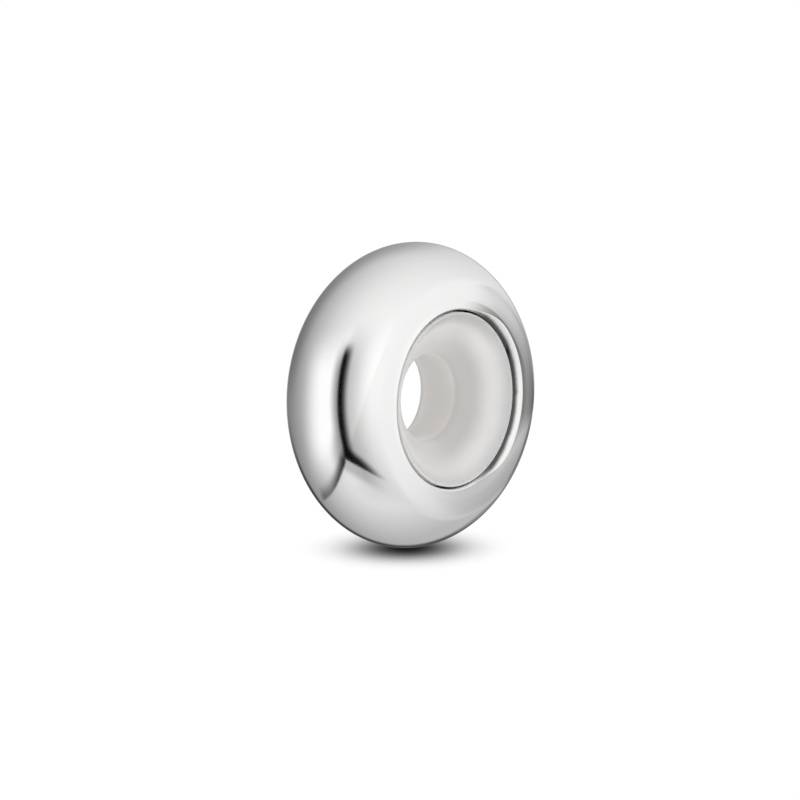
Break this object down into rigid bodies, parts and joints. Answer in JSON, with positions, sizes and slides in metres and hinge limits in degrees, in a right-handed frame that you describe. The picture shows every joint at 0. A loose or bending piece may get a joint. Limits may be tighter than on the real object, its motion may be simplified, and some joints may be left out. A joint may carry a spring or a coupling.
{
  "type": "european charm bead",
  "caption": "Round polished silver stopper bead with domed flanks and a funnel-mouthed silicone grip insert in its hole, for a charm bracelet.",
  "frame": {"origin": "on the axis of the hole, in the plane that the bead rests on when it lies on its side", "axes": "+Z along the axis of the hole, upwards from the resting plane; the bead is alike all round, so +X and +Y are any two directions across it"},
  "size_m": [0.0094, 0.0094, 0.0039],
  "materials": {
    "polished_silver": "mirror polished sterling silver",
    "grip_silicone": "smooth satin, milky translucent silicone"
  },
  "bodies": {
    "root": {"bead_ring": "polished_silver", "grip_insert": "grip_silicone"}
  },
  "joints": []
}
